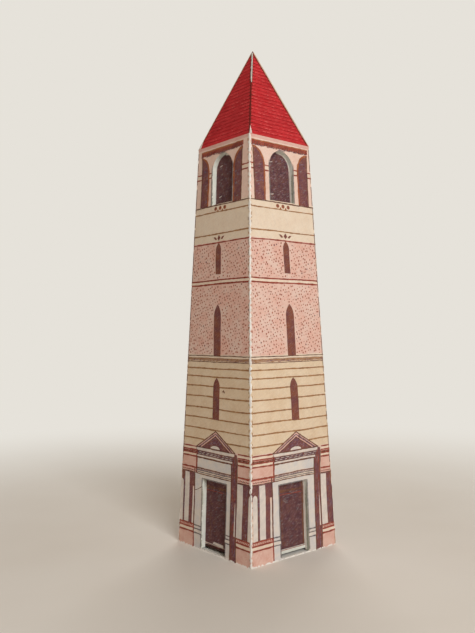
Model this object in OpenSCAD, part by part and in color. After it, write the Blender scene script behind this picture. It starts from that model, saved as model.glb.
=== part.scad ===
// Folded card model of a square bell tower with a pyramid roof.
// Four battered walls stand on their cut lower edges and close at mitred corners.
// Each wall has a doorway and a belfry arch cut through it, with a card reveal and
// a backing panel behind each. The roof is four card triangles held by tabs inside.
// The origin is at the middle of the base, at table level, with +Z up.
// The front wall faces -Y and the right wall faces +X.

/* [Tower] */
// Height of the walls, from the table to the eaves
eaves_h = 140; // [110:1:180]
// Width of the square tower at the table
base_w = 39.4; // [34:0.2:54]
// Width of the square tower at the eaves
eaves_w = 27.8; // [23:0.2:36]
// Height of the pyramid roof above the eaves
roof_h = 35; // [15:1:60]
// Thickness of the card
card_t = 0.3; // [0.2:0.05:0.6]

/* [Doorways] */
// Width of a doorway
door_w = 13; // [8:0.5:17]
// Height of a doorway above the table
door_h = 24; // [14:0.5:40]
// Height of the card strip left across the foot of a doorway
threshold_h = 0.5; // [0.3:0.1:1.5]
// Gap between the table and the foot of a door panel
door_lift = 1.1; // [0.6:0.1:3]

/* [Belfry arches] */
// Width of a belfry arch
arch_w = 11; // [6:0.5:13]
// Distance from the eaves down to the sill of an arch
arch_sill_drop = 21.4; // [18:0.2:30]
// Height of the sides of an arch, from its sill to where it starts to curve
arch_side_h = 12; // [6:0.5:14.5]

/* [Card joints] */
// Depth of the reveals behind the walls
reveal_depth = 1.6; // [0.8:0.1:3]
// Width of a panel beyond the outside of its reveal
panel_margin = 1.2; // [0.5:0.1:2]
// Width of the glue tab along the closing corner
corner_tab_w = 6; // [3:0.5:8]
// Width of the glue tabs inside the roof
roof_tab_w = 4; // [2:0.5:5]
// Length cut off each end of a glue tab, so that it clears the next piece
tab_end = 3; // [1.5:0.5:6]

/* [Hidden] */
$fn = 64;

// Sides in order, each a quarter turn about the tower from the one before
SIDES = ["front", "right", "back", "left"];

// Lean of the walls from upright, and length of a wall up its own slope
batter = atan((base_w - eaves_w) / 2 / eaves_h);
wall_len = eaves_h / cos(batter);
// Lean of the roof triangles from upright, and their length up their own slope
roof_lean = atan(eaves_w / 2 / roof_h);
roof_len = roof_h / cos(roof_lean);
// Angle at the foot of a roof triangle, in its own plane
hip_angle = atan(roof_len / (eaves_w / 2));
// Radius of an arch, and the place of its sill up the slope of the wall
arch_r = arch_w / 2;
arch_sill = wall_len - arch_sill_drop;
// A size well past the whole model, for cutting planes
far = 2 * (base_w + eaves_h + roof_h);

card_cream = "#e8d6bc";
card_white = "#e6ebe2";
card_red = "#c82a2a";
card_dark = "#6a4046";

// ---- Places -------------------------------------------------------------

// Turns a piece of the front side to another side of the tower
module on_side(side) {
    rotate([0, 0, 90 * side]) children();
}

// The quarter of space that belongs to the front side, from height z0 to z1.
// Its two faces are the mitre planes of the corners.
module front_quarter(z0, z1) {
    translate([0, 0, z0])
        linear_extrude(z1 - z0)
            polygon([[0, 0], [-far, -far], [far, -far]]);
}

// Lays a flat outline into the front wall: x runs across, y runs up the slope.
// The sheet is as thick as given, and its outer face lies depth behind the outer
// face of the wall.
module in_wall(depth, thick) {
    translate([0, -base_w / 2, 0])
        rotate([90 - batter, 0, 0])
            translate([0, 0, -depth - thick])
                linear_extrude(thick)
                    children();
}

// Lays a flat outline into the front roof triangle, in the same way
module in_roof(depth, thick) {
    translate([0, -eaves_w / 2, eaves_h])
        rotate([90 - roof_lean, 0, 0])
            translate([0, 0, -depth - thick])
                linear_extrude(thick)
                    children();
}

// ---- Outlines -----------------------------------------------------------

// Doorway, grown by g on its sides and its head
module door_outline(foot, g) {
    translate([-door_w / 2 - g, foot])
        square([door_w + 2 * g, door_h + g - foot]);
}

// Belfry arch, grown by g all round except at its sill, which goes down by drop
module arch_outline(g, drop) {
    translate([-arch_r - g, arch_sill - drop])
        square([arch_w + 2 * g, arch_side_h + drop]);
    translate([0, arch_sill + arch_side_h])
        circle(r = arch_r + g);
}

// ---- Pieces of one side, drawn for the front ------------------------------

// Wall: a leaning card sheet, mitred at the corners, cut level at table and eaves
module wall() {
    color(card_cream)
        intersection() {
            in_wall(0, card_t)
                difference() {
                    translate([-base_w, -base_w])
                        square([2 * base_w, wall_len + 2 * base_w]);
                    door_outline(threshold_h, 0);
                    arch_outline(0, 0);
                }
            front_quarter(0, eaves_h);
        }
}

// Roof triangle: a card sheet from the eaves to the tip, mitred at the hips
module roof() {
    color(card_red)
        intersection() {
            in_roof(0, card_t)
                translate([-eaves_w, -eaves_w])
                    square([2 * eaves_w, roof_len + 2 * eaves_w]);
            front_quarter(eaves_h, eaves_h + roof_h);
        }
}

// Door reveal: a strip folded round the sides and the head, square to the wall
module door_reveal() {
    color(card_white)
        in_wall(card_t, reveal_depth)
            difference() {
                door_outline(threshold_h, card_t);
                door_outline(0, 0);
            }
}

// Door panel: glued across the back of the reveal, short of the table
module door_panel() {
    color(card_dark)
        in_wall(card_t + reveal_depth, card_t)
            door_outline(door_lift, card_t + panel_margin);
}

// Belfry reveal: a strip bent round the arch and folded along the sill
module belfry_reveal() {
    color(card_white)
        in_wall(card_t, reveal_depth)
            difference() {
                arch_outline(card_t, card_t);
                arch_outline(0, 0);
            }
}

// Belfry panel: a plain rectangle glued across the back of the reveal
module belfry_panel() {
    color(card_dark)
        in_wall(card_t + reveal_depth, card_t) {
            reach = arch_r + card_t + panel_margin;
            foot = arch_sill - card_t - panel_margin;
            translate([-reach, foot])
                square([2 * reach, arch_side_h + arch_r + 2 * (card_t + panel_margin)]);
        }
}

// Hip tab: glued under the roof triangle, along the hip on its +X side
module hip_tab() {
    color(card_white)
        intersection() {
            in_roof(card_t, card_t)
                translate([eaves_w / 2, 0])
                    rotate([0, 0, 180 - hip_angle])
                        hip_tab_outline();
            front_quarter(eaves_h, eaves_h + roof_h);
        }
}

// Outline of a hip tab: x runs up the hip, y runs into the triangle
module hip_tab_outline() {
    hip_len = norm([eaves_w / 2, roof_len]);
    foot = 2 * tab_end;
    head = hip_len - 3 * tab_end;
    polygon([
        [foot, -roof_tab_w],
        [head, -roof_tab_w],
        [head, 0],
        [head - roof_tab_w, roof_tab_w],
        [foot + roof_tab_w, roof_tab_w],
        [foot, 0]
    ]);
}

// Corner tab: glued inside the front side's wall, along the corner on its -X side
module corner_tab() {
    color(card_white)
        intersection() {
            in_wall(card_t, card_t)
                corner_tab_outline();
            front_quarter(0, eaves_h);
        }
}

// Outline of the corner tab: its free edge runs parallel to the corner
module corner_tab_outline() {
    rise = wall_len - 2 * tab_end;
    shift = rise * (base_w - eaves_w) / 2 / wall_len;
    foot_x = corner_tab_w - base_w / 2;
    polygon([
        [-base_w, tab_end],
        [foot_x - corner_tab_w, tab_end],
        [foot_x, tab_end + corner_tab_w],
        [foot_x + shift, wall_len - tab_end - corner_tab_w],
        [foot_x + shift - corner_tab_w, wall_len - tab_end],
        [-base_w, wall_len - tab_end]
    ]);
}

// ---- The model ----------------------------------------------------------

for (side = [0 : 3]) {
    on_side(side) wall();
    on_side(side) roof();
    on_side(side) door_reveal();
    on_side(side) door_panel();
    on_side(side) belfry_reveal();
    on_side(side) belfry_panel();
    on_side(side) hip_tab();
}
on_side(3) corner_tab();  // corner_glue_tab
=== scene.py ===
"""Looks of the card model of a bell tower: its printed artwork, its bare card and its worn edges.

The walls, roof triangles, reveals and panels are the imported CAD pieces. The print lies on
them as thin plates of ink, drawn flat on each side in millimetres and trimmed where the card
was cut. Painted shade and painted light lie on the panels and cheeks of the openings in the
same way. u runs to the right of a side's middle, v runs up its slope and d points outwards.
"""
import random
from math import atan, ceil, cos, dist, hypot, pi, radians, sin, tan, tau

import bpy
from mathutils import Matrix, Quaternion, Vector, noise


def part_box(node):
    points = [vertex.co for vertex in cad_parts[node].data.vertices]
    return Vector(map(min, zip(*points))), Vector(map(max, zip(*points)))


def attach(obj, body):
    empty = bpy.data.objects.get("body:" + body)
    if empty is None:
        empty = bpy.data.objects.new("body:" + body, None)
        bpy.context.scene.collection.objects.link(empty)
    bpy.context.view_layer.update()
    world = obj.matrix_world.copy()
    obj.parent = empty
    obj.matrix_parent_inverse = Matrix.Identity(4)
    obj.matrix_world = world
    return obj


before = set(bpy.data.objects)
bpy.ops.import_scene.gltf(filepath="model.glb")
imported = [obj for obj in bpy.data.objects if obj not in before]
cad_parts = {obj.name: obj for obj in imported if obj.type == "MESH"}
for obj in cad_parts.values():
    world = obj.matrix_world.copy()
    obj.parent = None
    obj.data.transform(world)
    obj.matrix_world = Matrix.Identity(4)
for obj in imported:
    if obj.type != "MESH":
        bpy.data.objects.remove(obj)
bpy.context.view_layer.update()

MM = 0.001
SIDES = ("front", "right", "back", "left")
BODY = "root"
# Past both edges of any side: print is trimmed at the card's edge
FAR = 30.0


# ---- Sizes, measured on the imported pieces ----

def lean_of(reach_low, reach_high, rise):
    """Angle by which a face leans inwards as it rises."""
    return atan((reach_low - reach_high) / rise)


WALL_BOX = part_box("front_wall")
ROOF_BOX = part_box("front_roof")
HALF_BASE = -WALL_BOX[0].y / MM
HALF_EAVES = -ROOF_BOX[0].y / MM
EAVES = WALL_BOX[1].z / MM
TIP = ROOF_BOX[1].z / MM
BATTER = lean_of(HALF_BASE, HALF_EAVES, EAVES)
ROOF_LEAN = lean_of(HALF_EAVES, 0, TIP - EAVES)
WALL_TOP = EAVES / cos(BATTER)
ROOF_TOP = (TIP - EAVES) / cos(ROOF_LEAN)
CARD = (WALL_BOX[1].y / MM + HALF_EAVES) * cos(BATTER)


class Face:
    """One flat face of a side: it turns u, v and d in millimetres into a point in metres.

    Its foot and its directions are those of the front side, and it is turned to its own side.
    """

    def __init__(self, side, foot, across, up, out, depth=0.0):
        self.turn = Quaternion((0, 0, 1), radians(90 * SIDES.index(side)))
        self.foot = Vector(foot) - Vector(out) * depth
        self.across, self.up, self.out = Vector(across), Vector(up), Vector(out)

    def point(self, u, v, d=0.0):
        flat = self.foot + self.across * u + self.up * v + self.out * d
        return (self.turn @ flat) * MM


WALL_UP = (0, sin(BATTER), cos(BATTER))
WALL_OUT = (0, -cos(BATTER), sin(BATTER))
WALL_IN = (0, cos(BATTER), -sin(BATTER))
ROOF_UP = (0, sin(ROOF_LEAN), cos(ROOF_LEAN))
ROOF_OUT = (0, -cos(ROOF_LEAN), sin(ROOF_LEAN))


def wall_face(side, depth=0.0):
    return Face(side, (0, -HALF_BASE, 0), (1, 0, 0), WALL_UP, WALL_OUT, depth)


def roof_face(side):
    return Face(side, (0, -HALF_EAVES, EAVES), (1, 0, 0), ROOF_UP, ROOF_OUT)


def cheek_face(side, half, s):
    """The cheek of an opening, on the left (s is -1) or the right (s is 1) of its middle.

    u runs inwards from the face of the wall on the left cheek, and outwards on the right one.
    """
    across = WALL_IN if s < 0 else WALL_OUT
    return Face(side, (s * half, -HALF_BASE, 0), across, WALL_UP, (-s, 0, 0))


def measure(node):
    """Lowest and highest u, v and d of a node of the front side, on the front wall's face."""
    face = wall_face("front")
    found = []
    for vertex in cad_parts[node].data.vertices:
        away = vertex.co / MM - face.foot
        found.append((away.x, away.dot(face.up), away.dot(face.out)))
    return [(min(axis), max(axis)) for axis in zip(*found)]


DOOR_REVEAL = measure("front_door_reveal")
ARCH_REVEAL = measure("front_belfry_reveal")
DOOR_PANEL = measure("front_door_panel")
ARCH_PANEL = measure("front_belfry_panel")
DOOR_HALF = DOOR_REVEAL[0][1] - CARD
DOOR_TOP = DOOR_REVEAL[1][1] - CARD
THRESHOLD = DOOR_REVEAL[1][0]
ARCH_HALF = ARCH_REVEAL[0][1] - CARD
ARCH_TOP = ARCH_REVEAL[1][1] - CARD
ARCH_SILL = ARCH_REVEAL[1][0] + CARD
ARCH_SPRING = ARCH_TOP - ARCH_HALF
PANEL_DEPTH = -DOOR_PANEL[2][1]


# ---- Materials ----

def seen(red, green, blue):
    """A colour as it looks, from 0 to 255, turned into the linear numbers that nodes take."""
    def linear(value):
        share = value / 255
        return share / 12.92 if share <= 0.04045 else ((share + 0.055) / 1.055) ** 2.4
    return (linear(red), linear(green), linear(blue), 1.0)


class Nodes:
    """Short calls for the nodes of a material or of the world."""

    def __init__(self, owner):
        owner.use_nodes = True
        self.tree = owner.node_tree
        self.tree.nodes.clear()

    def node(self, kind, feeds=(), **settings):
        """Adds a node. Its inputs are fed by name or number from a dict, or in order."""
        made = self.tree.nodes.new(kind)
        for name, value in settings.items():
            setattr(made, name, value)
        for key, value in feeds.items() if isinstance(feeds, dict) else enumerate(feeds):
            if isinstance(value, bpy.types.NodeSocket):
                self.tree.links.new(value, made.inputs[key])
            else:
                made.inputs[key].default_value = value
        return made

    def math(self, operation, *values, clamp=False):
        made = self.node("ShaderNodeMath", values, operation=operation, use_clamp=clamp)
        return made.outputs[0]

    def times(self, value, factor):
        return self.math("MULTIPLY", value, factor)

    def mixed_shader(self, *share_and_shaders):
        return self.node("ShaderNodeMixShader", share_and_shaders).outputs[0]

    def in_view(self):
        """1 where the camera, a gloss or clear matter looks, and 0 for light on the object."""
        path = self.node("ShaderNodeLightPath")
        shown = self.math("MAXIMUM", path.outputs["Is Camera Ray"], path.outputs["Is Glossy Ray"])
        return self.math("MAXIMUM", shown, path.outputs["Is Transmission Ray"])


class Finish(Nodes):
    """A card material. Its place, and its x, y and z, are in millimetres."""

    def __init__(self, name):
        self.material = bpy.data.materials.new(name)
        super().__init__(self.material)
        place = self.node("ShaderNodeTexCoord").outputs["Object"]
        scaled = self.node("ShaderNodeVectorMath", {0: place, "Scale": 1 / MM}, operation="SCALE")
        self.place = scaled.outputs[0]
        self.x, self.y, self.z = self.node("ShaderNodeSeparateXYZ", (self.place,)).outputs
        self.across = self.math("ADD", self.x, self.y)

    def mix(self, share, first, second):
        made = self.node("ShaderNodeMix", {0: share, 6: first, 7: second}, data_type="RGBA")
        return made.outputs[2]

    def steps(self, share, stops):
        """Colours that change in steps: each stop is where one starts, and its tint."""
        made = self.node("ShaderNodeValToRGB", (share,))
        made.color_ramp.interpolation = "CONSTANT"
        points = made.color_ramp.elements
        while len(points) < len(stops):
            points.new(1.0)
        for point, (position, tint) in zip(points, stops):
            point.position = position
            point.color = tint
        return made.outputs[0]

    def noise(self, place, size, detail=2.0, low=0.35, high=0.65):
        """Noise whose blots are about size mm wide, stretched so that low to high fills 0 to 1."""
        blots = {"Vector": place, "Scale": 1 / size, "Detail": detail}
        value = self.node("ShaderNodeTexNoise", blots).outputs[0]
        span = {"Value": value, "From Min": low, "From Max": high}
        return self.node("ShaderNodeMapRange", span).outputs[0]

    def strokes(self, angle, width, length, low=0.4, high=0.62):
        """Pencil strokes: noise drawn out at an angle on the side, in degrees from level."""
        turn = Vector((cos(radians(angle)), sin(radians(angle))))
        along = self.math("ADD", self.times(self.across, turn.x), self.times(self.z, turn.y))
        aside = self.math("SUBTRACT", self.times(self.z, turn.x), self.times(self.across, turn.y))
        place = (along, self.times(aside, length / width), self.math("SUBTRACT", self.x, self.y))
        return self.noise(self.node("ShaderNodeCombineXYZ", place).outputs[0], length, 3.0, low, high)

    def outer(self, height, lean, reach):
        """1 on the leaning outer faces that reach so far at height 0, and 0 behind them."""
        away = self.math("MAXIMUM", self.math("ABSOLUTE", self.x), self.math("ABSOLUTE", self.y))
        slope = self.math("MULTIPLY_ADD", height, tan(lean), -reach)
        return self.math("GREATER_THAN", self.math("ADD", away, slope), -0.1 * CARD)

    def card(self, tint, rough=0.86, fibre=0.012):
        """A matte card surface with fine fibres and an uneven dullness."""
        fine = self.noise(self.place, FIBRE_WIDTH, 3.0, 0.3, 0.7)
        uneven = self.math("MULTIPLY_ADD", fine, UNEVENNESS, rough - UNEVENNESS / 2)
        bump = {"Strength": FIBRE_STRENGTH, "Distance": fibre * MM, "Height": fine}
        normal = self.node("ShaderNodeBump", bump).outputs[0]
        looks = {"Base Color": tint, "Roughness": uneven, "Normal": normal,
                 "Specular IOR Level": CARD_SHINE}
        return self.node("ShaderNodeBsdfPrincipled", looks).outputs[0]

    def show(self, shader):
        self.node("ShaderNodeOutputMaterial", {"Surface": shader})
        return self.material


CARD_WHITE = seen(231, 233, 224)
CARD_GREY = seen(206, 211, 201)
CARD_SHINE = 0.2
# Width of the card's fibres in mm, the strength of their bump, and the spread of its dullness
FIBRE_WIDTH, FIBRE_STRENGTH, UNEVENNESS = 0.22, 0.35, 0.12


def bare_card(s):
    """Unprinted card: slightly greenish white, clouded, with a faint fibre pattern."""
    clouds = s.noise(s.place, 3.5, 3.0)
    fibres = s.strokes(12, 0.18, 1.6)
    tint = s.mix(s.times(clouds, 0.6), CARD_WHITE, CARD_GREY)
    return s.mix(s.times(fibres, 0.18), tint, seen(196, 196, 180))


def paint_bare_card():
    s = Finish("bare_card")
    return s.show(s.card(bare_card(s), fibre=0.02))


# Zones of the wall's wash, from the table up: the height where each starts, its main
# tint and the tint of its blots, as seen
CREAM = ((230, 210, 183), (221, 195, 163))
PALE = ((235, 219, 198), (229, 208, 184))
PINK = ((231, 204, 191), (226, 175, 158))
ROSE = ((236, 209, 195), (230, 194, 176))
BROWN_BAND = ((184, 150, 126), (158, 122, 106))
WALL_ZONES = (
    (0.0, ((231, 208, 192), (226, 192, 174))),
    (34.8, CREAM),
    (64.2, BROWN_BAND),
    (65.4, PALE),
    (66.4, PINK),
    (91.1, ROSE),
    (92.2, PINK),
    (105.3, PALE),
    (118.3, ROSE),
    (138.5, ((224, 184, 172), (216, 165, 152))),
)


def paint_wall():
    """The wall's wash: a band of colour to each storey, blotted and stroked by pencil."""
    s = Finish("printed_card")
    tremor = s.math("MULTIPLY_ADD", s.noise(s.place, 4.0, 1.0, 0.0, 1.0), 0.5, -0.25)
    height = s.math("DIVIDE", s.math("ADD", s.z, tremor), EAVES)
    main, blot = (s.steps(height, [(low / EAVES, seen(*pair[which])) for low, pair in WALL_ZONES])
                  for which in (0, 1))
    patches = s.noise(s.place, 5.0, 4.0, 0.38, 0.66)
    pencil = s.times(s.strokes(28, 0.35, 3.0), 0.45)
    share = s.math("ADD", s.times(patches, 0.62), pencil, clamp=True)
    tint = s.mix(share, main, blot)
    missed = s.times(s.noise(s.place, 0.5, 2.0, 0.55, 0.75), 0.35)
    tint = s.mix(missed, tint, seen(240, 228, 212))
    grey_strokes = s.times(s.strokes(-60, 0.3, 2.0, 0.5, 0.72), 0.14)
    tint = s.mix(grey_strokes, tint, seen(150, 136, 140))
    return s.show(s.card(s.mix(s.outer(s.z, BATTER, HALF_BASE), bare_card(s), tint)))


def paint_roof():
    """The roof's red wash, deeper in blots, with the lighter strokes of a felt pen."""
    s = Finish("red_card")
    patches = s.noise(s.place, 6.0, 3.0)
    tint = s.mix(patches, seen(198, 40, 46), seen(176, 30, 36))
    tint = s.mix(s.times(s.strokes(4, 0.3, 4.0), 0.45), tint, seen(216, 78, 80))
    tint = s.mix(s.times(s.strokes(88, 0.25, 1.0, 0.5, 0.7), 0.35), tint, seen(164, 24, 32))
    outer = s.outer(s.math("SUBTRACT", s.z, EAVES), ROOF_LEAN, HALF_EAVES)
    return s.show(s.card(s.mix(outer, bare_card(s), tint), rough=0.82))


def paint_ink(name, *tints):
    """A printed ink: its main tint, deeper in blots and lighter where strokes missed the card."""
    s = Finish(name)
    main, deep, light = (seen(*tint) for tint in tints)
    tint = s.mix(s.noise(s.place, 2.5, 3.0), main, deep)
    missed = s.times(s.strokes(35, 0.28, 1.7, 0.52, 0.7), 0.55)
    tint = s.mix(missed, tint, light)
    speck = s.times(s.noise(s.place, 0.3, 2.0, 0.6, 0.72), 0.5)
    return s.show(s.card(s.mix(speck, tint, light)))


# Each ink: how many layers it lies above the card, and its main, deep and light tints as seen
INKS = {
    "stone": (1, (223, 213, 203), (209, 205, 204), (233, 224, 212)),
    "pale": (2, (236, 218, 198), (230, 204, 182), (241, 230, 214)),
    "pink": (2, (225, 187, 172), (217, 169, 153), (234, 208, 196)),
    "dark": (3, (128, 80, 72), (108, 66, 74), (164, 124, 114)),
    "door": (3, (106, 68, 67), (84, 54, 61), (142, 112, 110)),
    "grape": (4, (130, 102, 114), (104, 76, 92), (172, 150, 156)),
    "brown": (5, (170, 127, 86), (146, 104, 72), (196, 162, 122)),
    "ochre": (5, (170, 102, 62), (146, 80, 56), (192, 138, 102)),
    "red": (5, (158, 76, 62), (130, 56, 48), (190, 120, 100)),
    "dots": (5, (174, 104, 82), (152, 90, 76), (202, 144, 118)),
    "umber": (6, (118, 78, 60), (92, 58, 54), (156, 120, 96)),
    # shadow is painted shadow, not print: the shade that the wall casts into the door and belfry
    # recesses
    "shadow": (6, (76, 46, 40), (60, 36, 34), (98, 68, 60)),
    "slate": (6, (134, 124, 120), (104, 98, 104), (172, 164, 156)),
    # shade is painted shade, not print: the shade on the cheeks of the openings
    "shade": (6, (170, 170, 152), (146, 150, 138), (196, 196, 182)),
    "slit": (7, (134, 80, 60), (112, 66, 66), (156, 122, 116)),
    # light is print, and also painted light on the right-hand cheeks and inside the belfry arches
    "light": (8, (230, 218, 207), (212, 202, 194), (238, 230, 220)),
    "worn": (8, (244, 240, 234), (230, 226, 220), (250, 248, 244)),
    "tan": (8, (216, 184, 158), (198, 162, 134), (230, 208, 186)),
    "tile": (1, (160, 28, 34), (142, 22, 28), (180, 38, 42)),
    "glint": (2, (220, 98, 96), (208, 66, 66), (226, 132, 124)),
    "rim": (3, (118, 36, 28), (90, 28, 24), (150, 50, 42)),
}
# Height of a layer, and how far each plate of ink reaches into the card, in mm
LAYER = 0.011
SUNK = 0.03
# Plates are spread over this share of their layer in steps, so that plates drawn one after
# another differ in height. The heights come round again after 500 plates.
LAYER_USED, LAYER_STEP = 0.8, 0.618
# Where in the noise the tremble across and up the card is read. noise_vector would differ from
# session to session, since its offsets are seeded from the clock.
TREMBLES_APART = (0.0, 57.3)


# ---- Flat shapes ----

def area(outline):
    """Area of an outline, above zero where it runs anticlockwise."""
    following = outline[1:] + outline[:1]
    return sum(a[0] * b[1] - b[0] * a[1] for a, b in zip(outline, following)) / 2


def keep(outline, along_u, along_v, limit):
    """The part of an outline where along_u * u + along_v * v is no more than limit."""
    kept = []
    for here, there in zip(outline, outline[1:] + outline[:1]):
        over_here = along_u * here[0] + along_v * here[1] - limit
        over_there = along_u * there[0] + along_v * there[1] - limit
        if over_here <= 0:
            kept.append(here)
        if over_here * over_there < 0:
            share = over_here / (over_here - over_there)
            kept.append(tuple(a + share * (b - a) for a, b in zip(here, there)))
    return kept


def refine(points, step, closed):
    """The same line with points no further apart than step."""
    ends = points[1:] + points[:1] if closed else points[1:]
    fine = []
    for here, there in zip(points, ends):
        count = max(1, ceil(dist(here, there) / step))
        fine += [tuple(a + (b - a) * i / count for a, b in zip(here, there)) for i in range(count)]
    return fine if closed else fine + [points[-1]]


def arc(centre, radii, start, end, count=14):
    """Points along an ellipse, from the start to the end angle in degrees."""
    angles = [radians(start + (end - start) * i / count) for i in range(count + 1)]
    return [(centre[0] + radii[0] * cos(a), centre[1] + radii[1] * sin(a)) for a in angles]


# Points of a drawn outline and of a drawn line are no further apart than this, in mm
OUTLINE_STEP, LINE_STEP = 0.9, 0.7
# Smaller scraps than this, in square mm, are left out
SCRAP = 0.004


class Sheet:
    """What is printed on one face of one side: one piece of thin plates, with a slot per ink.

    Its edges are limits, each (a, b, c) for a * u + b * v <= c. A hand draws it, so it drifts
    by heights and offsets, and trembles. spread widens its belfry, worn is its worn corner
    (1 for the right, -1 for the left, 0 for none), and hatched shades its lowest slit closely.
    """

    def __init__(self, name, face, edges, seed, tremble=1.0, openings=False,
                 drift=((0.0, 0.0), (1.0, 0.0)), spread=1.0, worn=0, hatched=False):
        self.name = name
        self.face = face
        self.edges = edges
        self.seed = seed
        self.drift = drift
        self.tremble = tremble
        self.openings = openings
        self.spread = spread
        self.worn = worn
        self.hatched = hatched
        self.dice = random.Random(seed)
        self.inks, self.verts, self.faces, self.slots = [], [], [], []
        self.plates = 0

    def pick(self, low, high):
        return self.dice.uniform(low, high)

    def shift(self, v):
        """How far the print lies to the right of the card's middle at a height."""
        for (low, start), (high, end) in zip(self.drift, self.drift[1:]):
            if v <= high:
                break
        share = min(max((v - low) / (high - low), 0.0), 1.0)
        return start + (end - start) * share

    def drawn(self, point):
        """Where a drawn point falls on the card: the print drifts and the hand trembles."""
        u, v = point
        shaken = []
        for apart in TREMBLES_APART:
            slow = noise.noise(Vector((u / 14 + apart, v / 14, self.seed)))
            quick = noise.noise(Vector((u / 1.6 + apart, v / 1.6, self.seed + 5.5)))
            shaken.append(self.tremble * (0.28 * slow + 0.07 * quick))
        return (u + self.shift(v) + shaken[0], v + shaken[1])

    def trimmed(self, outline):
        """The parts of an outline that are left on the card."""
        for limit in self.edges:
            outline = keep(outline, *limit)
            if len(outline) < 3:
                return []
        low, high = min(p[1] for p in outline), max(p[1] for p in outline)
        if not self.openings or (low >= DOOR_TOP and high <= ARCH_SILL):
            return [outline]
        half, foot, head = ((DOOR_HALF, THRESHOLD, DOOR_TOP) if low < DOOR_TOP
                            else (ARCH_HALF, ARCH_SILL, ARCH_TOP))
        middle = keep(keep(outline, 1, 0, half), -1, 0, half)
        return [keep(outline, 1, 0, -half), keep(outline, -1, 0, -half),
                keep(middle, 0, -1, -head), keep(middle, 0, 1, foot)]

    def fill(self, ink, outline, loose=True):
        """Prints an outline. A loose one drifts and trembles; the other stays where it is."""
        if loose:
            outline = [self.drawn(p) for p in refine(outline, OUTLINE_STEP, True)]
        for part in self.trimmed(outline):
            if len(part) < 3 or abs(area(part)) < SCRAP:
                continue
            self.plate(ink, part if area(part) > 0 else part[::-1])

    def plate(self, ink, outline):
        """Adds a thin closed plate, from just inside the card to a height in its ink's layer."""
        if ink not in self.inks:
            self.inks.append(ink)
        self.plates += 1
        top = (INKS[ink][0] + LAYER_USED * (LAYER_STEP * self.plates % 1)) * LAYER
        count, first = len(outline), len(self.verts)
        self.verts.extend(self.face.point(u, v, -SUNK) for u, v in outline)
        self.verts.extend(self.face.point(u, v, top) for u, v in outline)
        rings = [[first + i for i in reversed(range(count))],
                 [first + count + i for i in range(count)]]
        for i in range(count):
            j = (i + 1) % count
            rings.append([first + i, first + j, first + count + j, first + count + i])
        self.faces.extend(rings)
        self.slots.extend([self.inks.index(ink)] * len(rings))

    def box(self, ink, u0, u1, v0, v1):
        self.fill(ink, [(u0, v0), (u1, v0), (u1, v1), (u0, v1)])

    def line(self, ink, points, width, loose=True):
        """Prints a line through points. Its width swells and thins as a pen line's does."""
        path = refine(points, LINE_STEP, False)
        left, right = [], []
        for i, here in enumerate(path):
            before, after = path[max(i - 1, 0)], path[min(i + 1, len(path) - 1)]
            run = dist(before, after) or 1.0
            aside = ((before[1] - after[1]) / run, (after[0] - before[0]) / run)
            swell = noise.noise(Vector((here[0] / 1.1, here[1] / 1.1, self.seed + 20)))
            half = width * (0.5 + 0.3 * swell)
            left.append((here[0] + aside[0] * half, here[1] + aside[1] * half))
            right.append((here[0] - aside[0] * half, here[1] - aside[1] * half))
        self.fill(ink, right + left[::-1], loose)

    def level(self, ink, v, width, u0=-FAR, u1=FAR):
        self.line(ink, [(u0, v), (u1, v)], width)

    def upright(self, ink, u, width, v0, v1):
        self.line(ink, [(u, v0), (u, v1)], width)

    def stroke(self, ink, u, v, run, rise, width):
        """Prints a short straight line from a point."""
        self.line(ink, [(u, v), (u + run, v + rise)], width)

    def build(self, materials):
        """Makes one piece of everything that is printed on the sheet."""
        used = [materials[ink] for ink in self.inks]
        piece = add_piece(self.name, self.verts, self.faces, used)
        piece.data.polygons.foreach_set("material_index", self.slots)


def add_object(name, data):
    made = bpy.data.objects.new(name, data)
    bpy.context.scene.collection.objects.link(made)
    return made


def add_piece(name, verts, faces, materials):
    mesh = bpy.data.meshes.new(name)
    mesh.from_pydata([tuple(p) for p in verts], [], faces)
    for material in materials:
        mesh.materials.append(material)
    piece = add_object(name, mesh)
    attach(piece, BODY)
    return piece


# ---- The print on a wall ----

# Heights of the stone courses, and the ink, height and width of the lines that part storeys
COURSES = (37.5, 41.2, 44.9, 48.4, 52.3, 55.9, 59.2, 62.0)
STRING_COURSES = (("red", 90.95, 0.55), ("red", 92.3, 0.46), ("red", 105.25, 0.42),
                  ("brown", 108.35, 0.42), ("brown", 116.0, 0.38), ("umber", 118.3, 0.34))
# Half width, foot and top of the pediment; half width, foot, shoulder and top of each slit
PEDIMENT = (10.7, 34.7, 41.0)
SLITS = ((1.75, 44.8, 55.8, 59.0), (1.85, 66.5, 79.8, 83.8), (1.35, 94.3, 102.6, 105.1))


def slit_outline(half, foot, shoulder, top):
    """A lancet: straight sides and a pointed head of two curves."""
    rise = top - shoulder
    steps = [i / 5 for i in range(6)]
    right = [(half * cos(t * pi / 2) ** 0.8, shoulder + rise * t) for t in steps]
    left = [(-u, v) for u, v in reversed(right[:-1])]
    return [(-half, foot), (half, foot)] + right + left


def corner_at(v):
    """How far a corner of the wall lies from the middle of its side at a height up the slope."""
    return HALF_BASE - v * sin(BATTER)


def print_courses(sheet):
    """Stone courses: level brown lines that stop at the pediment."""
    half, foot, top = PEDIMENT
    slope = half / (top - foot)
    for v in COURSES:
        gap = max(0.0, (top - v) * slope)
        sheet.level("brown", v, 0.44, -FAR, -gap)
        sheet.level("brown", v, 0.44, gap, FAR)


def print_slits(sheet):
    """Slit windows: brown lancets, shaded by short paler strokes."""
    for slit in SLITS:
        half, foot, shoulder, _ = slit
        strokes = 3.4 if sheet.hatched and slit is SLITS[0] else 0.9
        sheet.fill("slit", slit_outline(*slit))
        for _ in range(int((shoulder - foot) * strokes)):
            u = sheet.pick(-half * 0.8, half * 0.5)
            v = sheet.pick(foot + 0.5, shoulder)
            sheet.stroke("grape", u, v, 0.5, 0.35, 0.16)


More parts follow.
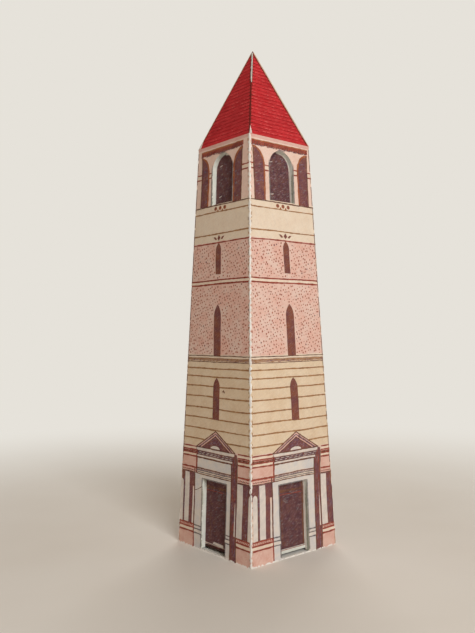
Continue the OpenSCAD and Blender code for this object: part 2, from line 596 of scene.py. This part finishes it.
def print_dots(sheet, low, high):
    """Stippled brickwork: uneven dots in rows that climb to the right."""
    pitch, climb, clear = 1.2, 0.3, 0.5
    reach = HALF_BASE + 2
    rows = int((high - low + 2 * reach * climb) / pitch) + 1
    for row in range(rows):
        for column in range(int(2 * reach / pitch)):
            u = -reach + pitch * (column + 0.5 * (row % 2)) + sheet.pick(-0.34, 0.34)
            v = low + pitch * row - (reach - u) * climb + sheet.pick(-0.3, 0.3)
            size = sheet.pick(0.14, 0.3)
            ink = "dots" if sheet.dice.random() < 0.96 else "dark"
            ring = [(size * sheet.pick(0.8, 1.2), radians(51.4 * i)) for i in range(7)]
            skipped = sheet.dice.random() < 0.08
            edge = corner_at(v) - 0.6
            if skipped or not low + 0.4 < v < high - 0.4 or abs(u) > edge:
                continue
            if any(abs(u - sheet.shift(v)) < half + clear and foot - clear < v < top
                   for half, foot, _, top in SLITS):
                continue
            dot = [(u + r * cos(a), v + 1.15 * r * sin(a)) for r, a in ring]
            sheet.fill(ink, dot, False)


def print_bands(sheet):
    """The level lines and bands that part the storeys."""
    sheet.level("umber", 64.3, 0.22)
    for i in range(54):
        u, v = sheet.pick(-18, 18), sheet.pick(64.5, 65.1)
        sheet.stroke("brown" if i % 3 else "grape", u, v, 0.9, 0.12, 0.15)
    sheet.level("brown", 65.35, 0.26)
    sheet.level("umber", 66.35, 0.26)
    sheet.box("pale", -FAR, FAR, 91.2, 92.05)
    for ink, v, width in STRING_COURSES:
        sheet.level(ink, v, width)


def print_ornament(sheet):
    """A lozenge between two leaves over the upper slit, and round drops under the belfry."""
    sheet.fill("slit", [(0, 105.9), (0.8, 106.85), (0, 107.85), (-0.8, 106.85)])
    for s in (-1, 1):
        leaf = [(s * 1.0, 106.45), (s * 1.9, 106.3), (s * 2.9, 107.3), (s * 1.9, 107.25)]
        sheet.fill("slit", leaf if s > 0 else leaf[::-1])
        smear = [(s * 0.8, 116.1), (s * 1.6, 116.1), (s * 1.35, 116.75), (s * 1.05, 116.75)]
        sheet.fill("ochre", smear[::s])
    for u in (-2.5, 0, 2.5):
        sheet.fill("ochre", arc((u, 117.15), (0.72, 0.66), 0, 345, 12))
        sheet.fill("slit", arc((u + 0.05, 117.3), (0.36, 0.34), 0, 330, 9))


def print_blind_arch(sheet, s, inner, outer):
    """Half a blind arch: its dark field, its brown rim and pale scribbles inside it."""
    curve = [(s * u, v) for u, v in arc((outer, 130.6), (outer - inner, 5.8), 90, 180)]
    sheet.fill("dark", [(s * inner, 118.5), (s * outer, 118.5)] + curve)
    rim = [(u + s * 0.2, v - 0.15) for u, v in curve]
    sheet.line("ochre", rim + [(s * (inner + 0.3), 118.6)], 0.66)
    sheet.upright("umber", s * (outer - 0.15), 0.42, 118.5, 136.5)
    for i in range(22):
        u = s * sheet.pick(inner + 0.9, outer - 1.0)
        v = sheet.pick(119.2, 133.0)
        run = sheet.pick(0.5, 1.1)
        ink = "slate" if i % 6 == 0 else ("grape" if i % 3 else "umber")
        sheet.line(ink, [(u - run / 2, v), (u + run / 2, v + 0.3)], 0.26)


def print_belfry(sheet):
    """Belfry storey: blind half arches between pilasters under a dark hatched frieze."""
    inner, outer = 7.35 * sheet.spread, 11.95 * sheet.spread
    for s in (-1, 1):
        print_blind_arch(sheet, s, inner, outer)
        for start, end in ((ARCH_HALF + 0.15, inner), (outer, FAR)):
            sheet.box("pale", s * start, s * end, 128.9, 130.0)
            sheet.level("red", 128.6, 0.4, s * start, s * end)
            sheet.level("red", 130.3, 0.38, s * start, s * end)
    reach = outer + 0.35
    sheet.box("red", -reach, reach, 137.0, 138.2)
    pitch = 0.36
    for i in range(int(2 * reach / pitch)):
        u = -reach + pitch * i
        low, high = sheet.pick(136.45, 136.9), sheet.pick(137.3, 138.1)
        sheet.line(("umber", "red", "grape")[i % 3], [(u, low), (u + 0.35, high)], 0.34)
    sheet.line("ochre", [(-reach, 138.3), (reach, 138.3)], 0.52)


def print_plinth(sheet):
    """Foot of the side wings: pink blocks under red lines."""
    for s, inner in ((-1, 11.2), (1, 12.0)):
        u0, u1 = s * inner, s * FAR
        sheet.box("pink", u0, u1, -1, 4.75)
        sheet.level("red", 5.0, 0.52, u0, u1)
        sheet.box("pale", u0, u1, 5.35, 6.15)
        sheet.box("pink", u0, u1, 6.3, 7.8)
        sheet.level("red", 6.5, 0.5, u0, u1)
        sheet.level("red", 7.65, 0.46, u0, u1)
        for i in range(11):
            u = s * (inner + 0.6 + 0.8 * i)
            sheet.line("red", [(u, 6.8), (u + 0.45, 7.4)], 0.26)


def print_columns(sheet):
    """Pale pilasters and round-headed strips on dark ground, beside the portal."""
    for s, near, low_near, inner, outer, column in ((-1, 11.0, 12.2, 14.2, 16.7, 17.5),
                                                    (1, 11.9, 11.9, 11.9, 14.6, 17.4)):
        sheet.box("dark", s * near, s * FAR, 20.7, 25.4)
        sheet.box("dark", s * low_near, s * column, 7.9, 20.7)
        sheet.box("light", s * inner, s * outer, 8.0, 25.2)
        middle, half = s * (column + 1.1), 0.95
        head = arc((middle, 21.0), (half, 1.4), 0, 180, 8)
        sheet.fill("light", [(middle - half, 8.0), (middle + half, 8.0)] + head)
        sheet.upright("umber", s * (column + 0.05), 0.3, 7.9, 25.2)
        for _ in range(26):
            u = s * sheet.pick(outer + 0.1, column - 0.1)
            v = sheet.pick(8.3, 24.0)
            sheet.stroke("grape", u, v, 0.1, 1.2, 0.2)
    strip = [(-12.2, 8.0), (-11.5, 8.0), (-11.5, 16.5), (-11.8, 20.2), (-12.1, 16.5)]
    sheet.fill("light", strip)
    sheet.upright("umber", -11.1, 0.46, 7.5, 27)
    sheet.upright("red", -11.1, 0.5, 0, 8)


def print_entablature(sheet):
    """Bands above the columns: hatched lines, a pink frieze and a dark red band."""
    for s, inner in ((-1, 9.9), (1, 12.1)):
        u0, u1 = s * inner, s * FAR
        sheet.box("pink", u0, u1, 25.6, 27.2)
        sheet.level("umber", 25.6, 0.34, u0, u1)
        for i in range(13):
            u = s * (inner + 0.5 + 0.72 * i)
            sheet.line("umber" if i % 2 else "red", [(u - 0.3, 26.1), (u + 0.3, 26.45)], 0.26)
        sheet.level("red", 27.3, 0.6, u0, u1)
        sheet.box("pink", u0, u1, 27.75, 31.0)
        sheet.level("red", 31.2, 0.52, u0, u1)
        sheet.box("pale", u0, u1, 31.5, 32.1)
        sheet.box("pink", u0, u1, 32.15, 33.65)
        for v, width in ((32.4, 0.46), (32.95, 0.34), (33.45, 0.44)):
            sheet.level("red", v, width, u0, u1)
        for i in range(16):
            u = s * (inner + 0.3 + 0.6 * i)
            sheet.line("umber", [(u - 0.3, 32.6), (u + 0.35, 32.8 + 0.1 * (i % 4))], 0.24)
        sheet.box("pale", u0, u1, 33.7, 34.4)
        sheet.level("red", 34.65, 0.42, u0, u1)
    sheet.upright("red", -10.05, 0.75, 25.5, 34.3)


def print_bar(sheet):
    """The dark shadow band on the right of the portal, hatched upright."""
    bar = [(8.6, -1), (11.9, -1), (11.9, 33.0), (11.4, 34.4), (10.2, 34.5), (8.6, 31.0)]
    sheet.fill("dark", bar)
    for i in range(70):
        u = sheet.pick(8.9, 11.6)
        v = sheet.pick(0.5, 32.0)
        run = sheet.pick(0.8, 2.6)
        sheet.stroke(("grape", "red", "umber")[i % 3], u, v, 0.08, run, 0.22)
    sheet.upright("umber", 8.75, 0.34, 0, 31)
    sheet.upright("umber", 11.75, 0.34, 0, 33.5)
    sheet.fill("light", [(10.7, 8.0), (11.2, 8.0), (11.15, 15.5), (10.9, 19.2)])


def print_portal(sheet):
    """Door surround and the bands over the door."""
    sheet.fill("stone", [(-10.8, -1), (8.7, -1), (8.7, 25.4), (-10.8, 25.4)])
    for u0, u1 in ((-10.8, -DOOR_HALF + 0.6), (DOOR_HALF - 1.6, 8.6)):
        sheet.level("slate", 5.0, 0.38, u0, u1)
        sheet.box("light", u0, u1, 5.3, 6.15)
        sheet.level("slate", 6.45, 0.38, u0, u1)
        sheet.level("slate", 7.6, 0.38, u0, u1)
    sheet.box("pale", -10.2, 8.8, 25.4, 27.6)
    for v, ink in ((25.6, "umber"), (26.15, "slate"), (26.75, "slate"), (27.5, "umber")):
        sheet.level(ink, v, 0.3, -10.2, 8.8)
    for i in range(40):
        u = -10.0 + 0.46 * i
        sheet.line("grape", [(u, 26.85), (u + 0.4, 27.3)], 0.2)
    sheet.box("stone", -9.7, 8.7, 27.8, 31.0)
    sheet.level("umber", 31.15, 0.5, -9.9, 9.2)
    sheet.box("light", -9.8, 9.2, 31.45, 31.95)
    sheet.box("grape", -9.8, 9.8, 32.05, 33.55)
    for i in range(44):
        u = -9.6 + 0.43 * i
        v = 32.45 + 0.3 * (i % 4)
        sheet.stroke("slate" if i % 3 else "red", u, v, 0.7, 0.05, 0.18)
    for i in range(9):
        u = -9.4 + 2.1 * i + sheet.pick(0, 0.4)
        sheet.line("light", [(u, 32.45), (u + sheet.pick(0.8, 1.7), 32.5)], 0.15)
        sheet.line("light", [(u + 0.5, 33.05), (u + sheet.pick(1.2, 1.9), 33.1)], 0.12)
    for v in (32.15, 32.75, 33.35):
        sheet.level("umber", v, 0.28, -9.9, 9.9)
    sheet.box("light", -10.2, 10.2, 33.7, 34.5)


def print_pediment(sheet):
    """Pediment over the door: raking bands round a dark field with a pale lunette."""
    half, foot, top = PEDIMENT
    # How far the dark field lies under the tip, and the run of a band along the foot to its drop
    field, run = 1.95, 1.7
    corner = half - run * field
    sheet.fill("pink", [(-half, foot), (half, foot), (0.0, top)])
    sheet.fill("dark", [(-corner, foot + 0.1), (corner, foot + 0.1), (0, top - field)])
    for s in (-1, 1):
        for drop, width, ink in ((0.12, 0.36, "umber"), (1.0, 0.34, "grape"), (1.85, 0.3, "umber")):
            sheet.line(ink, [(s * (half - run * drop), foot), (0, top - drop)], width)
        for i in range(18):
            share = 0.1 + 0.046 * i
            u, v = s * half * (1 - share), foot + (top - foot) * share - 0.9
            ends = [(u, v - 0.35), (u - s * 0.3, v + 0.5)]
            sheet.line("grape" if i % 2 else "umber", ends, 0.2 + 0.06 * s)
    for _ in range(44):
        v = sheet.pick(foot + 0.5, top - 2.6)
        u = sheet.pick(-1, 1) * (top - field - v) * 1.45
        sheet.stroke("grape", u, v, 0.4, 0.3, 0.24)
    lunette = (-0.1, foot + 0.3)
    sheet.fill("light", arc(lunette, (2.5, 1.0), 0, 180, 12))
    sheet.line("umber", arc(lunette, (2.6, 1.15), 0, 180, 12), 0.24)
    sheet.level("umber", foot, 0.34, -half, half)


def print_outlines(sheet):
    """Thin drawn lines round the cut openings, and broken lines along the folded corners."""
    edge = 0.2
    foot, half, top = 0.8, DOOR_HALF + edge, DOOR_TOP + edge
    sheet.line("slate", [(-half, foot), (-half, top), (half, top), (half, foot)], 0.3, False)
    half = ARCH_HALF + edge
    curve = arc((0, ARCH_SPRING), (half, half), 0, 180, 24)
    sheet.line("slate", [(half, ARCH_SILL)] + curve + [(-half, ARCH_SILL)], 0.32, False)
    for s in (-1, 1):
        worn = sheet.worn == s
        inset, shortest, longest, gap = (0.75, 0.3, 1.1, 3.0) if worn else (0.3, 2.5, 9.0, 1.6)
        v = sheet.pick(0, 1)
        while v < WALL_TOP - 2:
            run = sheet.pick(shortest, longest)
            ends = [(s * (corner_at(h) - inset), h) for h in (v, min(v + run, WALL_TOP))]
            faint = worn or sheet.dice.random() < 0.4
            sheet.line("brown" if faint else "umber", ends, 0.2, False)
            v += run + sheet.pick(0.2, gap)


def print_wall(sheet):
    for part in (print_courses, print_bands, print_plinth, print_portal, print_bar,
                 print_columns, print_entablature, print_pediment, print_slits):
        part(sheet)
    print_dots(sheet, 66.6, 90.7)
    print_dots(sheet, 92.5, 105.1)
    print_ornament(sheet)
    print_belfry(sheet)
    print_outlines(sheet)


# ---- The print on a roof triangle ----

def print_tiles(sheet, glints):
    """Courses of tiles: soft dark scalloped lines, and broken pale glints between them."""
    pitch, tile = 1.52, 1.05
    for row in range(1, int(ROOF_TOP / pitch)):
        v = row * pitch
        half = HALF_EAVES * (1 - v / ROOF_TOP) + 0.3
        u = -half
        while u < half:
            run = sheet.pick(2.0, 7.0)
            end = min(u + run, half)
            count = max(2, int((end - u) / tile * 5))
            stops = [u + (end - u) * i / count for i in range(count + 1)]
            turns = [2 * pi * (stop + 0.5 * (row % 2)) / tile for stop in stops]
            wave = [(stop, v + 0.09 * cos(turn)) for stop, turn in zip(stops, turns)]
            sheet.line("tile", wave, sheet.pick(0.16, 0.36))
            u = end + sheet.pick(-0.2, 0.6)
        u = -half
        while u < half:
            run = sheet.pick(0.4, 1.8)
            chance = glints + 0.5 * noise.noise(Vector((u / 5, v / 6, sheet.seed)))
            if sheet.dice.random() < chance:
                sheet.line("glint", [(u, v + 0.5), (min(u + run, half), v + 0.5)], 0.2)
            u += run + sheet.pick(0.3, 1.1)
        for s in (-1, 1):
            end = half - sheet.pick(0.9, 1.6)
            sheet.level("rim", v, 0.3, s * (half - 0.3), s * end)


def print_hips(sheet, bare_from):
    """Dark brown-red edging along both hips, and the tip of bare card at the left eaves.

    On the right-hand hip it runs inside the bare strip, from a share of the length up.
    """
    for s in (-1, 1):
        for start, end in ((0.0, 0.3), (0.28, 0.62), (0.6, 0.97)):
            inset = 0.62 if s > 0 and end > bare_from + 0.1 else 0.2
            ends = [(s * (HALF_EAVES * (1 - t) - inset), ROOF_TOP * t) for t in (start, end)]
            sheet.line("rim", ends, 0.5 if s > 0 else 0.34)
    sheet.fill("rim", [(-0.6, ROOF_TOP - 1.3), (0.6, ROOF_TOP - 1.5), (0.0, ROOF_TOP)])
    peak = [(-HALF_EAVES, 0.0), (-HALF_EAVES + 1.15, 0.15), (-HALF_EAVES + 1.35, 3.3)]
    sheet.fill("light", peak, False)


# ---- The print behind the openings ----

def print_scribble(sheet, u0, u1, v0, v1, count):
    """Short pen strokes over a dark field, mostly darker or purple and some paler."""
    for i in range(count):
        u, v = sheet.pick(u0, u1), sheet.pick(v0, v1)
        run = sheet.pick(0.3, 0.9)
        ink = ("grape", "umber", "dark", "slate")[i % 4 if i % 8 else 3]
        sheet.stroke(ink, u, v, run, run * 0.35, 0.13 if ink == "slate" else 0.22)


def print_door(sheet, shaded):
    """Door: a dark leaf scribbled over, with a rail near its head.

    On a side painted in shade, painted shadow darkens its right edge and its foot, with a pale smear
    there.
    """
    left, right, foot, top = -DOOR_HALF - 0.6, DOOR_HALF - 0.25, 2.5, DOOR_TOP + 1.0
    sheet.box("door", left, right, foot, top)
    print_scribble(sheet, left + 0.3, right - 1.0, foot + 0.5, top - 0.5, 210)
    sheet.upright("umber", -DOOR_HALF + 2.6, 0.24, foot, 19.6)
    # A wide umber line along the right edge of every door leaf: painted shade
    sheet.upright("umber", right - 0.45, 0.8, foot, top)
    sheet.line("red", [(left, 20.4), (right, 20.2)], 0.24)
    sheet.line("umber", [(left, 21.5), (right, 21.4)], 0.9)
    for i in range(9):
        u = sheet.pick(-3.2, 0.5)
        sheet.line("slate", [(u, 17.4 + 0.5 * i), (u + 1.4, 17.5 + 0.5 * i)], 0.18)
    sheet.line("red", [(left, 2.2), (right, 2.2)], 0.2)
    if shaded:
        # Painted shadow: the dark band at the right edge and the dark strip at the foot stand for the
        # shade the wall casts into the recess
        sheet.box("shadow", right - 1.75, right, foot, top)
        sheet.fill("shadow", [(left, 0.9), (right, 0.9), (right, 2.25), (left, 1.9)])
        sheet.fill("light", [(-2.4, 2.75), (3.6, 2.45), (3.4, 3.3), (-1.6, 3.5)])


# Height and length of the pale dashes behind a belfry arch
PALE_DASHES = ((131.6, 1.1), (132.4, 1.4), (129.4, 1.0), (121.4, 1.3), (120.4, 1.0), (126.2, 0.7))


def print_bell_chamber(sheet, shaded):
    """Dark behind a belfry arch, with a few pale dashes.

    On a side painted in shade it has fewer pen strokes, and painted shadow darkens its right edge.
    """
    left, right = -ARCH_HALF - 0.5, ARCH_HALF - 0.2
    low, high = ARCH_SILL - 0.8, ARCH_TOP + 0.8
    sheet.box("door", left, right, low, high)
    print_scribble(sheet, left + 0.3, right - 0.8, low + 0.4, high - 0.4, 150 if shaded else 330)
    for v, run in PALE_DASHES:
        u = sheet.pick(-4.4, -2.6)
        sheet.stroke("light" if run > 1.2 else "slate", u, v, run, 0.3, 0.2)
    if shaded:
        # Painted shadow along the right edge, where the wall shades the recess
        sheet.box("shadow", right - 1.6, right, low, high)
    # A pale line inside the right-hand half of the arch's head: a painted highlight, the lit curved
    # reveal
    curve = arc((0, ARCH_SPRING), (ARCH_HALF - 0.1, ARCH_HALF - 0.1), -4, 96, 16)
    sheet.line("light", curve, 0.4)
    sheet.line("slate", [(left, low + 0.95), (right - 3.0, low + 1.05)], 0.22)


# ---- Bare and worn edges of the card ----

def ragged_strip(sheet, outer, inner):
    """A strip of bare card from one row of points to the row facing it."""
    outline = outer + inner[::-1]
    sheet.plate("worn", outline if area(outline) > 0 else outline[::-1])


def wear_corners(sheet):
    """The ink cracks off along the folds, most of all on the worn corner."""
    for s in (-1, 1):
        worn = sheet.worn == s
        usual, rough = (0.52, 0.32) if worn else (0.18, 0.16)
        v = 0.0
        while v < WALL_TOP:
            run = min(sheet.pick(0.8, 4.0), WALL_TOP - v)
            steps = max(2, int(run / 0.35))
            outer, inner = [], []
            for i in range(steps + 1):
                h = v + run * i / steps
                corner = corner_at(h)
                width = usual + rough * noise.noise(Vector((h / 0.8, s * 3.0, sheet.seed)))
                width *= min(1.0, 3 * i / steps + 0.3, 3 * (steps - i) / steps + 0.3)
                outer.append((s * corner, h))
                inner.append((s * (corner - max(width, 0.05)), h))
            ragged_strip(sheet, outer, inner)
            v += run + (sheet.pick(0.0, 0.4) if worn else sheet.pick(0.2, 2.5))


def wear_foot(sheet):
    """The cut foot of the wall is ragged and white."""
    u = -HALF_BASE
    while u < HALF_BASE - 0.5:
        end = min(u + sheet.pick(0.8, 3.0), HALF_BASE)
        tops = [(u + (end - u) * i / 6, sheet.pick(0.15, 0.55)) for i in range(1, 6)]
        bottom = [(x, 0.0) for x, _ in tops]
        ragged_strip(sheet, [(u, 0.0)] + bottom + [(end, 0.0)], [(u, 0.1)] + tops + [(end, 0.1)])
        u = end + sheet.pick(0.05, 0.8)


def print_cheek(sheet, low, high, s):
    """Painted shade, grey-green and ragged, along the outer edge of an opening's cheek.

    On the right-hand cheek it is wide, and a pale strip of painted light lies beside the panel.
    """
    widest, thinnest, raggedest = (0.5, 0.3, 0.4) if s < 0 else (0.62 * PANEL_DEPTH, 0.85, 0.7)
    v = low
    while v < high:
        run = min(sheet.pick(1.2, 4.5), high - v)
        width = widest * sheet.pick(thinnest, 1.0)
        heights = [v + run * i / 6 for i in range(7)]
        ragged = [(-s * width * sheet.pick(raggedest, 1.0) * min(1.0, 0.1 + (high - h) / 5), h)
                  for h in heights]
        sheet.fill("shade", [(0.0, h) for h in heights] + ragged[::-1], False)
        v += run + (sheet.pick(0.0, 1.5) if s < 0 else 0.0)
    if s > 0:
        # The pale strip is painted light: the lit inner half of the right-hand cheek
        inner = -PANEL_DEPTH
        strip = [(inner, low), (0.7 * inner, low), (0.75 * inner, high), (inner, high)]
        sheet.fill("light", strip, False)


def scratch_front(sheet):
    """A knife slip beside the front door, and a small tick of ink by the lower slit."""
    sheet.line("umber", [(-11.1, 19.35), (-9.0, 20.1), (-6.75, 21.3)], 0.2, False)
    sheet.line("light", [(-10.6, 19.3), (-8.8, 19.95), (-6.7, 20.95)], 0.16, False)
    sheet.line("umber", [(3.3, 54.3), (3.75, 54.8), (4.3, 54.0)], 0.3, False)


def hip_edge(side, materials, bare_from):
    """The next triangle's cut edge stands just proud along this side's right-hand hip.

    It shows from a share of the hip's length up, and is covered by ink below that.
    """
    face = roof_face(side)
    along = Vector((-HALF_EAVES, ROOF_TOP)).normalized()
    inward = Vector((-along.y, along.x))
    length = hypot(HALF_EAVES, ROOF_TOP) - 0.6
    steps, seed = 60, SIDES.index(side)
    verts = []
    for i in range(steps + 1):
        run = length * (bare_from + (1 - bare_from) * i / steps) - 0.3
        ragged = 0.5 + 0.5 * noise.noise(Vector((run / 1.3, 7.0, seed)))
        taper = min(1.0, 0.1 * i + 0.2)
        start = Vector((HALF_EAVES, 0)) + along * run
        edge = start + inward * CARD * (0.8 + 0.9 * ragged) * taper
        low = max(edge.y, -0.12)
        proud = 0.03 + (0.02 + 0.13 * ragged) * taper
        for u, v, d in ((start.x + 0.1, start.y, -0.1), (edge.x, low, -0.1),
                        (edge.x, low, proud), (start.x + 0.1, start.y, proud)):
            verts.append(face.point(u, v, d))
    faces = [[3, 2, 1, 0], [4 * steps + j for j in range(4)]]
    for i in range(steps):
        for j in range(4):
            k = (j + 1) % 4
            faces.append([4 * i + j, 4 * i + k, 4 * i + 4 + k, 4 * i + 4 + j])
    tint = "bare" if side == "front" else "tan"
    add_piece(f"{side}_hip_edge", verts, faces, [materials[tint]])


# ---- Stage ----

BACKDROP = seen(230, 226, 218)
WORLD_TINT = (1.0, 0.79, 0.56, 1.0)
# How far from the middle the floor starts to fade into the backdrop, and ends, in mm
FADE_START, FADE_END = 60.0, 330.0
FLOOR_REACH = 4
# Name, place in metres, size, power and tint of each lamp. Both point at LAMP_AIM.
LAMPS = (
    ("key", (0.58, -0.21, 0.34), 0.3, 3.03, (1.0, 0.99, 0.985)),
    ("fill", (-0.42, 0.46, 0.34), 0.4, 1.9, (1.0, 0.97, 0.93)),
)
LAMP_AIM = (0, 0, 0.08)


def add_floor():
    """A pale round floor whose far part fades into the backdrop where the camera sees it."""
    mesh = bpy.data.meshes.new("floor")
    turns = [tau * i / 64 for i in range(64)]
    rim = [(FLOOR_REACH * cos(a), FLOOR_REACH * sin(a), 0) for a in turns]
    mesh.from_pydata(rim, [], [list(range(64))])
    s = Finish("floor")
    tint = s.mix(s.noise(s.place, 60.0, 2.0), seen(238, 234, 227), seen(234, 229, 221))
    away = s.math("SQRT", s.math("ADD", s.times(s.x, s.x), s.times(s.y, s.y)))
    span = {"Value": away, "From Min": FADE_START, "From Max": FADE_END}
    fade = s.node("ShaderNodeMapRange", span, interpolation_type="SMOOTHSTEP").outputs[0]
    glow = s.node("ShaderNodeEmission", {"Color": BACKDROP}).outputs[0]
    card = s.card(tint, rough=0.9, fibre=0.01)
    mesh.materials.append(s.show(s.mixed_shader(s.times(s.in_view(), fade), card, glow)))
    add_object("floor", mesh)


def add_lamp(name, place, size, power, tint):
    lamp = bpy.data.lights.new(name, "AREA")
    lamp.size = size
    lamp.energy = power
    lamp.color = tint
    holder = add_object(name, lamp)
    holder.location = place
    holder.rotation_euler = (Vector(LAMP_AIM) - Vector(place)).to_track_quat("-Z", "Y").to_euler()


def add_world():
    """Soft light from all round, and a pale background where the camera or a gloss sees it."""
    world = bpy.data.worlds.new("world")
    bpy.context.scene.world = world
    s = Nodes(world)
    light, backdrop = (s.node("ShaderNodeBackground", {"Color": tint, "Strength": power}).outputs[0]
                       for tint, power in ((WORLD_TINT, 0.2), (BACKDROP, 1.0)))
    mixed = s.mixed_shader(s.in_view(), light, backdrop)
    s.node("ShaderNodeOutputWorld", {"Surface": mixed})


def add_camera():
    """Camera at half height, turned so that the front-right corner comes forward."""
    azimuth, distance, height = radians(48.55), 247.2, 75.0
    aim_left, aim_height, roll = 6.1, 79.9, 0.41
    place = Vector((distance * sin(azimuth), -distance * cos(azimuth), height))
    rightwards = Vector((cos(azimuth), sin(azimuth), 0))
    aim = Vector((0, 0, aim_height)) - rightwards * aim_left
    camera = bpy.data.cameras.new("camera")
    camera.lens = 39.5
    holder = add_object("camera", camera)
    holder.location = place * MM
    facing = (aim - place).to_track_quat("-Z", "Y")
    holder.rotation_euler = (facing @ Quaternion((0, 0, 1), radians(-roll))).to_euler()
    bpy.context.scene.camera = holder


# ---- Making it ----

WALL_EDGES = ((1, sin(BATTER), HALF_BASE), (-1, sin(BATTER), HALF_BASE),
              (0, -1, 0), (0, 1, WALL_TOP - 0.02))
ROOF_SLOPE = HALF_EAVES / ROOF_TOP
ROOF_EDGES = ((1, ROOF_SLOPE, HALF_EAVES), (-1, ROOF_SLOPE, HALF_EAVES),
              (0, -1, 0), (0, 1, ROOF_TOP))
# How the print of each side differs. A drift is a row of heights, each with how far the print
# lies right of the middle there. The most worn corner is the one between front and right.
SIDE_PRINTS = {
    "front": dict(spread=0.93, worn=1,
                  drift=((0, 0.3), (30, 0.1), (60, -0.1), (100, -0.9), (130, -0.5))),
    "right": dict(spread=1.06, worn=-1, hatched=True,
                  drift=((0, 1.2), (28, 1.5), (42, 2.4), (60, 1.9), (78, 1.5), (100, 0.9),
                         (120, 0.1), (130, -0.15))),
    "back": dict(drift=((0, 0.8), (40, 1.1), (100, 0.3), (130, -0.2))),
    "left": dict(spread=0.97, hatched=True, drift=((0, -0.6), (40, -0.9), (100, 0.2), (130, 0.3))),
}
# The share of a hip above which the bare cut edge shows: only the front's stays inked below it
BARE_FROM = {"front": 0.62, "right": 0.0, "back": 0.0, "left": 0.0}


def panel_edges(u_range, v_range):
    return ((1, 0, u_range[1] - 0.15), (-1, 0, -u_range[0] - 0.15),
            (0, -1, -v_range[0]), (0, 1, v_range[1] - 0.1))


def dress_outside(side, seed, materials, shaded):
    """Prints and wears the wall and the roof triangle of one side."""
    sheet = Sheet(f"{side}_print", wall_face(side), WALL_EDGES, seed + 1, openings=True,
                  **SIDE_PRINTS[side])
    print_wall(sheet)
    wear_corners(sheet)
    wear_foot(sheet)
    if side == "front":
        scratch_front(sheet)
    sheet.build(materials)
    tiles = Sheet(f"{side}_tiles", roof_face(side), ROOF_EDGES, seed + 11, tremble=0.7)
    # The glints are print, drawn fewer on the sides painted in shade
    print_tiles(tiles, 0.3 if shaded else 0.7)
    print_hips(tiles, BARE_FROM[side])
    tiles.build(materials)


def dress_panels(side, seed, materials, shaded):
    """Prints the panels behind the doorway and the belfry arch of one side."""
    behind = wall_face(side, PANEL_DEPTH)
    door = Sheet(f"{side}_door_print", behind, panel_edges(*DOOR_PANEL[:2]), seed + 21)
    print_door(door, shaded)
    door.build(materials)
    belfry = Sheet(f"{side}_belfry_print", behind, panel_edges(*ARCH_PANEL[:2]), seed + 31)
    print_bell_chamber(belfry, shaded)
    belfry.build(materials)


def dress_cheeks(side, seed, materials):
    """Paints shade on the cheeks of the doorway and the belfry arch of one side."""
    for opening, half, low, high in (("door", DOOR_HALF, THRESHOLD, DOOR_TOP),
                                     ("belfry", ARCH_HALF, ARCH_SILL, ARCH_SPRING)):
        for s, hand in ((-1, "left"), (1, "right")):
            edges = ((s, 0, 0.0), (-s, 0, PANEL_DEPTH), (0, -1, -low), (0, 1, high))
            cheek = Sheet(f"{side}_{opening}_{hand}_cheek", cheek_face(side, half, s), edges,
                          seed + 41 + s, tremble=0.3)
            print_cheek(cheek, low, high, s)
            cheek.build(materials)


def main():
    materials = {ink: paint_ink("ink_" + ink, *tints) for ink, (_, *tints) in INKS.items()}
    materials["bare"] = paint_bare_card()
    wall, roof = paint_wall(), paint_roof()
    for name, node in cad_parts.items():
        node.data.materials.clear()
        node.data.materials.append(wall if name.endswith("_wall") else
                                   roof if name.endswith("_roof") else materials["bare"])
    for seed, side in enumerate(SIDES):
        # The front and back are painted as if in shade: painted shadow in their door and belfry
        # recesses, fewer pen strokes behind their belfry arches and fewer glints on their roofs
        shaded = side in ("front", "back")
        dress_outside(side, seed, materials, shaded)
        dress_panels(side, seed, materials, shaded)
        hip_edge(side, materials, BARE_FROM[side])
        dress_cheeks(side, seed, materials)
    add_floor()
    for lamp in LAMPS:
        add_lamp(*lamp)
    add_world()
    add_camera()
    bpy.context.scene.view_settings.view_transform = "Standard"


main()
